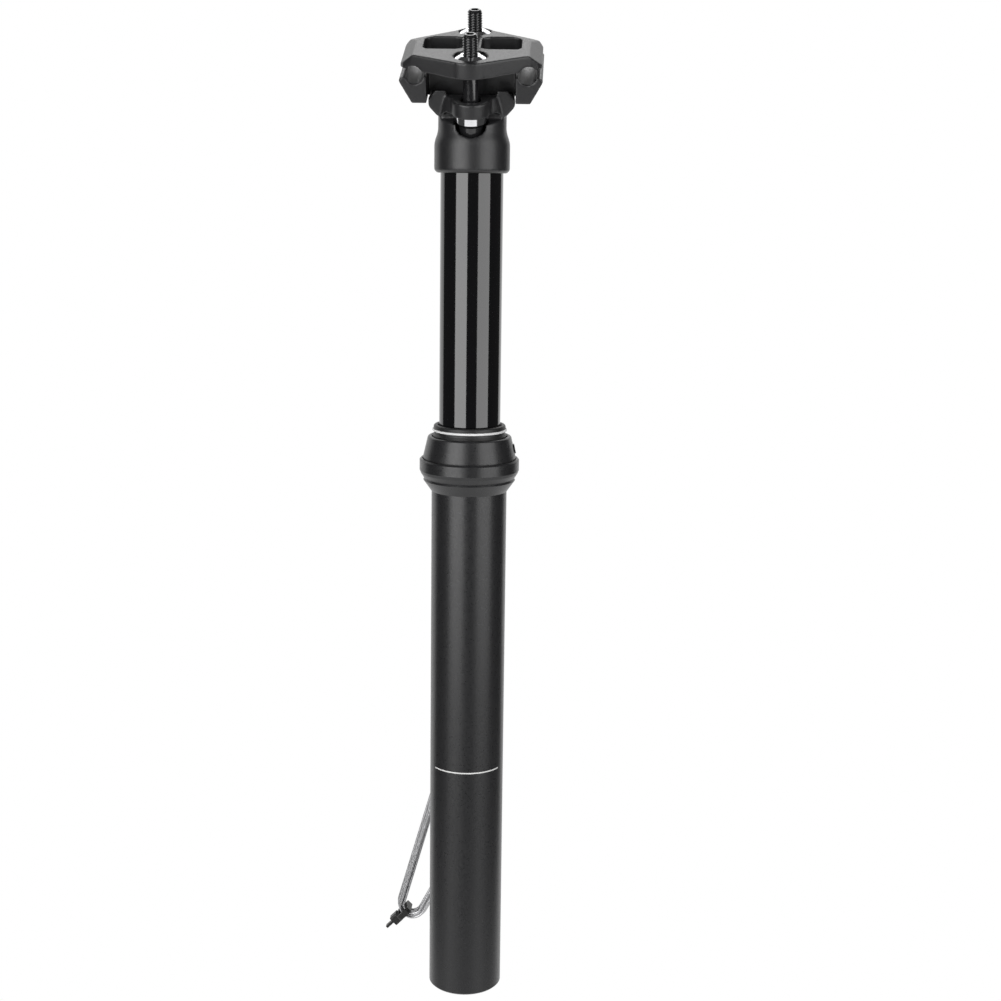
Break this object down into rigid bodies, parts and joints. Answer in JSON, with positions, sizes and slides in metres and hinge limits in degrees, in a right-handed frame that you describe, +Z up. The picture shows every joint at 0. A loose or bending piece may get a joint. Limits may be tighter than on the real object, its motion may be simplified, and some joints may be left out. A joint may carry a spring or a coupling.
{
  "type": "dropper seatpost",
  "caption": "Height-adjustable bicycle seatpost: tilting rail clamp on a sliding tube, with a cable-released friction lock and a wound-up release wire.",
  "frame": {"origin": "centre of the lower tube's end, where its full diameter starts", "axes": "+Z up the post, -Y to the front of the bicycle, +X to the right in the picture"},
  "size_m": [0.0657, 0.0701, 0.4103],
  "materials": {
    "anodised": "matte black anodised",
    "polished_black": "gloss black anodised",
    "forged": "bead-blasted black",
    "black_alloy": "black anodised",
    "black_steel": "black oxide",
    "steel": "plain steel",
    "bright": "nickel plated",
    "wire": "stranded stainless steel",
    "rubber": "matte",
    "plastic": "moulded acetal",
    "black_plastic": "moulded nylon",
    "brass": "machined"
  },
  "bodies": {
    "lower_post": {"outer_tube": "anodised", "collar_housing": "anodised", "collar_cap": "anodised", "collar_set_screw": "black_steel", "dust_wiper": "rubber", "wiper_ring": "steel", "upper_bushing": "plastic", "bottom_plug": "anodised", "snap_ring": "steel", "bottom_bumper": "rubber", "gas_spring_rod": "steel", "gas_spring_piston": "brass", "rod_bolt": "black_steel", "lever_pivot_pin": "steel", "cable_adjuster": "black_alloy", "adjuster_nut": "black_alloy", "cable_lead": "wire", "cable_hank": "wire", "cable_tie": "black_plastic", "cable_end_cap": "wire"},
    "upper_post": {"stanchion": "polished_black", "lower_bushing": "plastic", "guide_keys": "brass", "gas_spring_cylinder": "black_steel", "rod_guide": "plastic", "seatpost_head": "forged", "front_washer": "bright", "rear_washer": "bright"},
    "saddle_clamp": {"clamp_cradle": "forged", "clamp_plate": "forged"},
    "front_bolt_body": {"front_bolt": "black_steel"},
    "front_nut_body": {"front_nut": "bright"},
    "rear_bolt_body": {"rear_bolt": "black_steel"},
    "rear_nut_body": {"rear_nut": "bright"},
    "lever": {"release_lever": "black_alloy", "lever_spring": "steel"},
    "wire_head": {"cable_nipple": "steel"},
    "lock": {"lock_plunger": "steel", "brake_pad": "brass"}
  },
  "joints": [
    {"name": "post_drop", "type": "slide", "parent": "lower_post", "child": "upper_post", "axis": [0, 0, 1], "range_m": [-0.1, 0], "stiffness_N_per_m": 400, "springref_m": 0.3},
    {"name": "saddle_tilt", "type": "hinge", "parent": "upper_post", "child": "saddle_clamp", "pos_m": [0, 0, 0.3881], "axis": [1, 0, 0], "range_deg": [-10, 10]},
    {"name": "front_bolt_swing", "type": "hinge", "parent": "upper_post", "child": "front_bolt_body", "pos_m": [0, -0.00929, 0.36498], "axis": [1, 0, 0], "range_deg": [-6, 6]},
    {"name": "front_nut_travel", "type": "slide", "parent": "front_bolt_body", "child": "front_nut_body", "axis": [0, -0.3502, 0.9367], "range_m": [-0.0045, 0.0045]},
    {"name": "rear_bolt_swing", "type": "hinge", "parent": "upper_post", "child": "rear_bolt_body", "pos_m": [0, 0.02218, 0.37675], "axis": [1, 0, 0], "range_deg": [-6, 6]},
    {"name": "rear_nut_travel", "type": "slide", "parent": "rear_bolt_body", "child": "rear_nut_body", "axis": [0, -0.3502, 0.9367], "range_m": [-0.0045, 0.0045]},
    {"name": "wire_pull", "type": "slide", "parent": "lower_post", "child": "wire_head", "axis": [0, 0, 1], "range_m": [-0.00266, 0], "stiffness_N_per_m": 300, "springref_m": 0.02},
    {"name": "release_lever", "type": "hinge", "parent": "lower_post", "child": "lever", "pos_m": [0, 0.026, 0.2268], "axis": [1, 0, 0], "range_deg": [-28, 2]},
    {"name": "lock_slide", "type": "slide", "parent": "lower_post", "child": "lock", "axis": [0, 1, 0], "range_m": [-0.00005, 0.0008]}
  ],
  "couplings": [
    {"joint": "front_bolt_swing", "follows": "saddle_tilt", "ratio": 0.2662},
    {"joint": "rear_bolt_swing", "follows": "saddle_tilt", "ratio": 0.2662},
    {"joint": "front_nut_travel", "follows": "saddle_tilt", "m_per_rad": -0.016765},
    {"joint": "rear_nut_travel", "follows": "saddle_tilt", "m_per_rad": 0.016765},
    {"joint": "release_lever", "follows": "wire_pull", "rad_per_m": 91.743},
    {"joint": "lock_slide", "follows": "wire_pull", "ratio": -0.14954}
  ]
}
